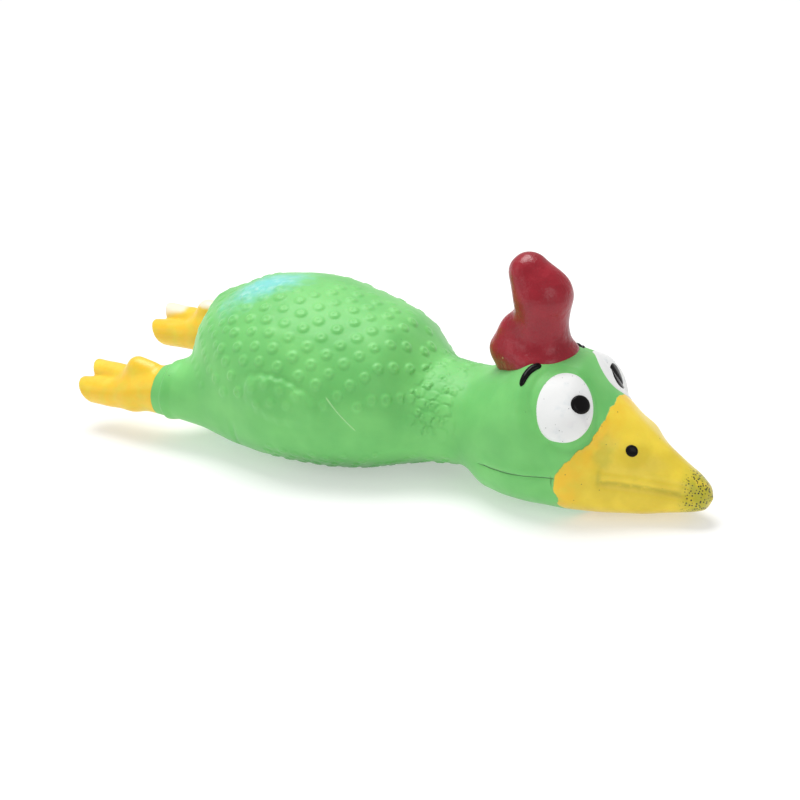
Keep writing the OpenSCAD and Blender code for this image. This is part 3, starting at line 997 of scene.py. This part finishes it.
def yellow_paint(p, bill, past_face):
    shade, lip_groove_shade = bill_marks(p)
    yellow = p.mix(p.step(p.noise(9.0, 3), -.5, .8), tint(224, 197, 44), tint(242, 214, 58))
    # Painted highlight: the bill is painted a lighter yellow towards its top, where light falls on it.
    yellow = p.over(yellow, p.step(p.z, 22.0, 36.0) * bill * .7, 252, 220, 62)
    yellow = p.over(yellow, p.step(past_face, 5.5, .6) * p.step(p.noise(5.0), -.8, .5) * .75, 246, 192, 22)
    yellow = p.over(yellow, shade * .42, 176, 176, 40)
    # Painted shade along the lip groove, under the edge of the upper bill.
    yellow = p.over(yellow, lip_groove_shade * .42, 150, 150, 34)
    yellow = p.over(yellow, p.step(p.x, 108.0, 114.5) * p.step(p.noise(3.5), -.9, .3) * .75, 168, 168, 28)
    yellow = p.over(yellow, bill * p.specks(.85, .31, .82) * p.step(p.x, 109.5, 113.5), 34, 34, 14)
    yellow = p.over(yellow, bill * p.specks(2.6, .20, .34) * .8, 96, 88, 26)
    return p.over(yellow, pale_nails(p) * .85, 244, 236, 222)


def painted_latex(name):
    """Green latex with its marks, under yellow paint on the bill and the feet."""
    p = Paint(name, Subsurface_Weight=.08, Subsurface_Scale=.002, Sheen_Weight=.24, Sheen_Roughness=.45)
    cloud = p.noise(16.0, 3)
    grain = p.noise(1.1, 3)
    scratch = scratch_line(p, (-10.0, 33.8), (.4, 22.4), .42)
    mouth = mouth_line(p)
    pits = p.specks(5.5, .22, .10) * .7
    past_face, past_ankle = paint_edges(p)
    bill = p.step(past_face, -.10, .12)
    covered = p.highest(bill, p.step(past_ankle, -.10, .12))
    colour = p.mix(covered, green_skin(p, cloud, scratch, mouth, pits), yellow_paint(p, bill, past_face))
    stain = p.near(past_face, 0.0, .35) * p.step(p.noise(1.6), 0.0, .8)
    colour = p.over(colour, stain * .35, 150, 160, 40)
    height = (grain * .018 + p.noise(.45) * .008 + covered * .16 + covered * p.noise(2.4) * .035
              + scratch * .18 - mouth * .35 - pits * .12)
    return p.finish(colour, height, covered * -.12 + .50 + cloud * .035 + grain * .03)


def red_latex():
    p = Paint("red_latex_paint", Specular_IOR_Level=.42, Coat_Weight=.12, Coat_Roughness=.16)
    cloud = p.noise(7.0, 3)
    colour = p.mix(p.step(cloud, -.7, .8), tint(140, 10, 30), tint(160, 20, 40))
    foot = p.step(p.z, HEAD_HEIGHT + 4.0, HEAD_HEIGHT - 4.0)
    chips = p.highest(p.specks(4.5, .42, .35) * foot, p.specks(6.0, .30, .22))
    colour = p.over(colour, chips * .8, 196, 160, 110)
    scuff = p.step(p.noise(1.6, 3), .55, 1.1) * .15
    colour = p.over(colour, scuff, 190, 78, 90)
    height = p.noise(2.0, 3) * .13 + p.noise(.7) * .02 - chips * .08
    return p.finish(colour, height, cloud * .05 + .32 + scuff * .3)


def eye_white():
    p = Paint("white_eye_paint")
    smudge = p.step(p.noise(4.0, 3), .0, .9)
    colour = p.mix(smudge * .6, tint(238, 239, 238), tint(206, 216, 220))
    colour = p.over(colour, p.step(p.noise(8.0), .3, 1.0) * .25, 236, 218, 222)
    dots = p.specks(1.4, .16, .34)
    colour = p.over(colour, dots * .75, 70, 66, 70)
    return p.finish(colour, p.noise(1.2, 3) * .02 - dots * .05, smudge * .1 + .48)


def black_gloss():
    p = Paint("black_gloss_paint", Specular_IOR_Level=.12)
    dust = p.step(p.noise(1.0, 3), .5, 1.2)
    colour = p.mix(dust * .12, tint(14, 13, 14), tint(60, 58, 60))
    return p.finish(colour, p.noise(1.3, 3) * .03, dust * .2 + .22)


def fibre():
    p = Paint("white_fibre_filling", Roughness=.9)
    strands = p.noise(1.6, 4, .7, p.stretched(1.0, 2.6, .7)) + p.noise(1.9, 4, .7, p.stretched(2.4, .8, 1.6))
    colour = p.mix(p.step(strands, -.8, .8), tint(216, 212, 200), tint(246, 244, 238))
    return p.finish(colour, strands * .22)


def moulded_plastic(name, low, high, roughness):
    """Hard translucent plastic. It follows object coordinates, since CAD nodes have no rest places."""
    p = Paint(name, IOR=1.5)
    where = p.node("TexCoord").outputs["Object"]
    fine = p.noise(.0011, 3, at=where)
    colour = p.mix(p.step(p.noise(.006, at=where), -.6, .8), low, high)
    return p.finish(colour, fine * .012, p.step(fine, .6, 1.2) * .15 + roughness)


def studio_floor():
    p = Paint("pale_floor", Roughness=.9, Emission_Strength=.40)
    where = p.node("TexCoord").outputs["Object"]
    return p.finish(p.mix(p.step(p.noise(.4, at=where), -.8, .8), tint(205, 205, 205), tint(209, 209, 209)))


def dress(piece, material):
    piece.data.materials.clear()
    piece.data.materials.append(material)


# ---- Building ----

def stand_in(piece, node, material, body=None):
    """Puts a piece in a CAD node's place, and lets it ride one body if one is named."""
    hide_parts(node)
    dress(piece, material)
    if body:
        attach(piece, body)
    return piece


def metres(*place):
    return tuple(float(v) * MM for v in place)


def cut_skin(skin, green, yellow):
    """Cuts the moulding into its named pieces, and lets the head and the bill ride the head."""
    x, y, z = skin.middles.T
    foot = x < ANKLE_X
    ways = {side: HAUNCH * [1, sign, 1] for side, sign in SIDES.items()}
    leg = {side: (skin.middles @ way > HAUNCH_START) & ~foot & (x < HIP[0] + HIP_R + 5)
           for side, way in ways.items()}
    trunk = ~foot & ~leg["right"] & ~leg["left"] & (x < NECK_START_X)
    port = (np.hypot(x - SQUEAKER_X, y) < PORT_R + 1) & (z > BOSS_TOP) & (z < BOSS_TOP + 8)
    bill = (np.hypot(x - FACE_CURVE_X, y) > FACE_CURVE_R) & (x > HEAD_START_X)

    def cut_green(name, chosen, node, body=None):
        return stand_in(skin.piece(name, chosen, WALL), node, green, body)

    torso = cut_green("torso_latex", trunk & (z <= PRESS_Z) & ~port, "torso_skin")
    back = cut_green("back_latex", trunk & (z > PRESS_Z), "back_skin")
    for piece in (torso, back):
        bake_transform(piece)
    neck_rear = cut_green("neck_rear_latex", (x >= NECK_START_X) & (x < NECK_MIDDLE_X), "neck_skin")
    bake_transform(neck_rear)
    neck_front = cut_green("neck_front_latex", (x >= NECK_MIDDLE_X) & (x < HEAD_START_X), "neck_skin")
    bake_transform(neck_front)
    cut_green("head_latex", (x >= HEAD_START_X) & ~bill, "head_skin", "head")
    stand_in(skin.piece("bill_latex", bill, WALL), "bill", yellow, "head")

    for side, way in ways.items():
        thigh = cut_green(side + "_leg_latex", leg[side], side + "_leg_skin")
        side + "_leg"
        metres(*(way * HAUNCH_START))
        metres(*(way * HAUNCH_END))
        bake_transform(thigh)
        toes = skin.piece(side + "_foot_latex", foot & (y * SIDES[side] > 0), None)
        stand_in(toes, side + "_foot", yellow)
        side + "_leg"
        side + "_foot"
        metres(ANKLE_X, 0, 0)
        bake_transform(toes)


def build_comb(head):
    step = .45
    field = Field(*comb_field(step, head), step)
    points, quads = field.surface()
    out = field.normal(points)
    points = points + out * (lumps(points, 7.0) * .22)[:, None]
    comb = make_piece("comb_latex", points, quads, point_normals(points, quads))
    stand_in(comb, "comb", red_latex())
    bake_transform(comb)


def build_face(ground):
    white, black = eye_white(), black_gloss()
    for side, sign in SIDES.items():
        centre = EYE_CENTRE if side == "right" else LEFT_EYE_CENTRE
        eye = oval_patch(side + "_eye_paint", ground, sign, centre, EYE_FORWARD, EYE_UP,
                         EYE_HALF_WIDE, EYE_HALF_HIGH, .32, egg=-.05)
        stand_in(eye, side + "_eye", white, "head")
        px, py, pz, wide, high, lift = PUPILS[side]
        pupil = oval_patch(side + "_pupil_paint", ground, sign, np.array([px, py, pz]), EYE_FORWARD, EYE_UP,
                           wide, high, lift, rings=12)
        hole = NOSTRIL + ([0, 0, 0] if side == "right" else [0, 1.2, -1.8])
        nostril = oval_patch(side + "_nostril_paint", ground, sign, hole,
                             unit([.8, -.5, -.3]), unit([-.2, -.6, .75]), 2.2, 2.0, .55, rings=10)
        for piece, node in ((pupil, "_pupil"), (nostril, "_nostril")):
            stand_in(piece, side + node, black, "head")
    brow_ends = {"right": ((60.6, -12.2), (56.4, -14.3), (56.8, -20.2)),
                 "left": ((62.5, 6.5), (65.0, 8.0), (65.4, 13.0))}
    for side, ends in brow_ends.items():
        brow = brush_stroke(side + "_eyebrow_paint", ground, ends, 2.5, .95)
        stand_in(brow, side + "_eyebrow", black, "head")


def build_filling(field, name, node, x_from, x_to, body, squeeze):
    """Loose fibre inside the skin: the moulding's shape set in, with a ragged surface."""
    stride = 5
    values = field.values[::stride, ::stride, ::stride].astype(float)
    step = field.step * stride
    x = field.origin[0] + step * np.arange(values.shape[0])[:, None, None]
    y = field.origin[1] + step * np.arange(values.shape[1])[None, :, None]
    z = field.origin[2] + step * np.arange(values.shape[2])[None, None, :]
    values = overlap(values + SKIN + 1.2, x_from - x, 4.0)
    values = overlap(values, x - x_to, 4.0)
    around_squeaker = np.maximum(np.hypot(x - SQUEAKER_X, y) - 15.5, z - 22)
    values = overlap(values, -around_squeaker, 2.0)
    soft = Field(values, field.origin, step)
    points, quads = soft.surface(settle=1)
    out = soft.normal(points)
    ragged = np.array([noise.fractal(Vector(p) * .16, 1.0, 2.0, 3) for p in points.tolist()])
    points = points - out * (.5 + .8 * ragged)[:, None]
    piece = make_piece(name, points, quads)
    stand_in(piece, node, fibre(), body)
    if squeeze:
        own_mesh(piece)


def dress_squeaker():
    housing = moulded_plastic("milky_squeaker_plastic", tint(206, 210, 214), tint(226, 229, 232), .32)
    film = moulded_plastic("clear_reed_film", tint(190, 198, 206), tint(214, 220, 226), .2)
    for node in ("squeaker_housing", "reed_seat", "reed_clamp", "squeaker_cap"):
        dress(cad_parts[node], housing)
    dress(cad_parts["squeaker_reed"], film)


def aim(thing, place, target):
    thing.location = place
    thing.rotation_euler = (Vector(target) - Vector(place)).to_track_quat("-Z", "Y").to_euler()


def add_camera():
    azimuth, elevation, distance = math.radians(27.3), math.radians(24.0), .8
    right = Vector((math.cos(azimuth), math.sin(azimuth), 0))
    back = Vector((math.sin(azimuth) * math.cos(elevation), -math.cos(azimuth) * math.cos(elevation),
                   math.sin(elevation)))
    up = back.cross(right)
    shift_right, shift_down = .00071, .00818
    target = Vector((0, 0, .030)) + right * shift_right - up * shift_down
    data = bpy.data.cameras.new("camera")
    data.lens = 101.25
    data.sensor_width = 36
    data.clip_start = .01
    camera = show("camera", data)
    aim(camera, target + back * distance, target)
    bpy.context.scene.camera = camera


def add_softbox(name, place, size, power):
    data = bpy.data.lights.new(name, "AREA")
    data.shape = "RECTANGLE"
    data.size, data.size_y = size
    data.energy = power
    aim(show(name, data), place, (0, 0, .03))


def add_studio():
    half, drop = 4.0, .0003
    mesh = bpy.data.meshes.new("floor")
    corners = [(-half, -half, 0), (half, -half, 0), (half, half, 0), (-half, half, 0)]
    mesh.from_pydata(corners, [], [(0, 1, 2, 3)])
    mesh.materials.append(studio_floor())
    floor = show("floor", mesh)
    floor.location = (0, 0, -drop)
    world = bpy.data.worlds.new("studio")
    world.use_nodes = True
    backdrop = world.node_tree.nodes["Background"]
    backdrop.inputs["Color"].default_value = (1, 1, 1, 1)
    backdrop.inputs["Strength"].default_value = .50
    bpy.context.scene.world = world
    add_softbox("top_softbox", (-.25, .15, .9), (.7, .5), 7.6)
    add_softbox("front_softbox", (.75, -.55, .55), (.5, .5), 1.3)
    add_softbox("left_softbox", (-.8, -.7, .5), (.5, .5), 1.0)
    bpy.context.scene.view_settings.view_transform = "Standard"


add_camera()
bird = Field(*bird_field(GRID), GRID)
skin = Skin(bird)
cut_skin(skin, painted_latex("green_latex_paint"), painted_latex("yellow_latex_paint"))
build_comb(bird)
build_face(Ground(skin, HEAD_START_X))
build_filling(bird, "body_fibre", "body_filling", -73 * K, 10 * K, "torso", True)
build_filling(bird, "head_fibre", "head_filling", 43 * K, 84 * K, "head", False)
dress_squeaker()
add_studio()
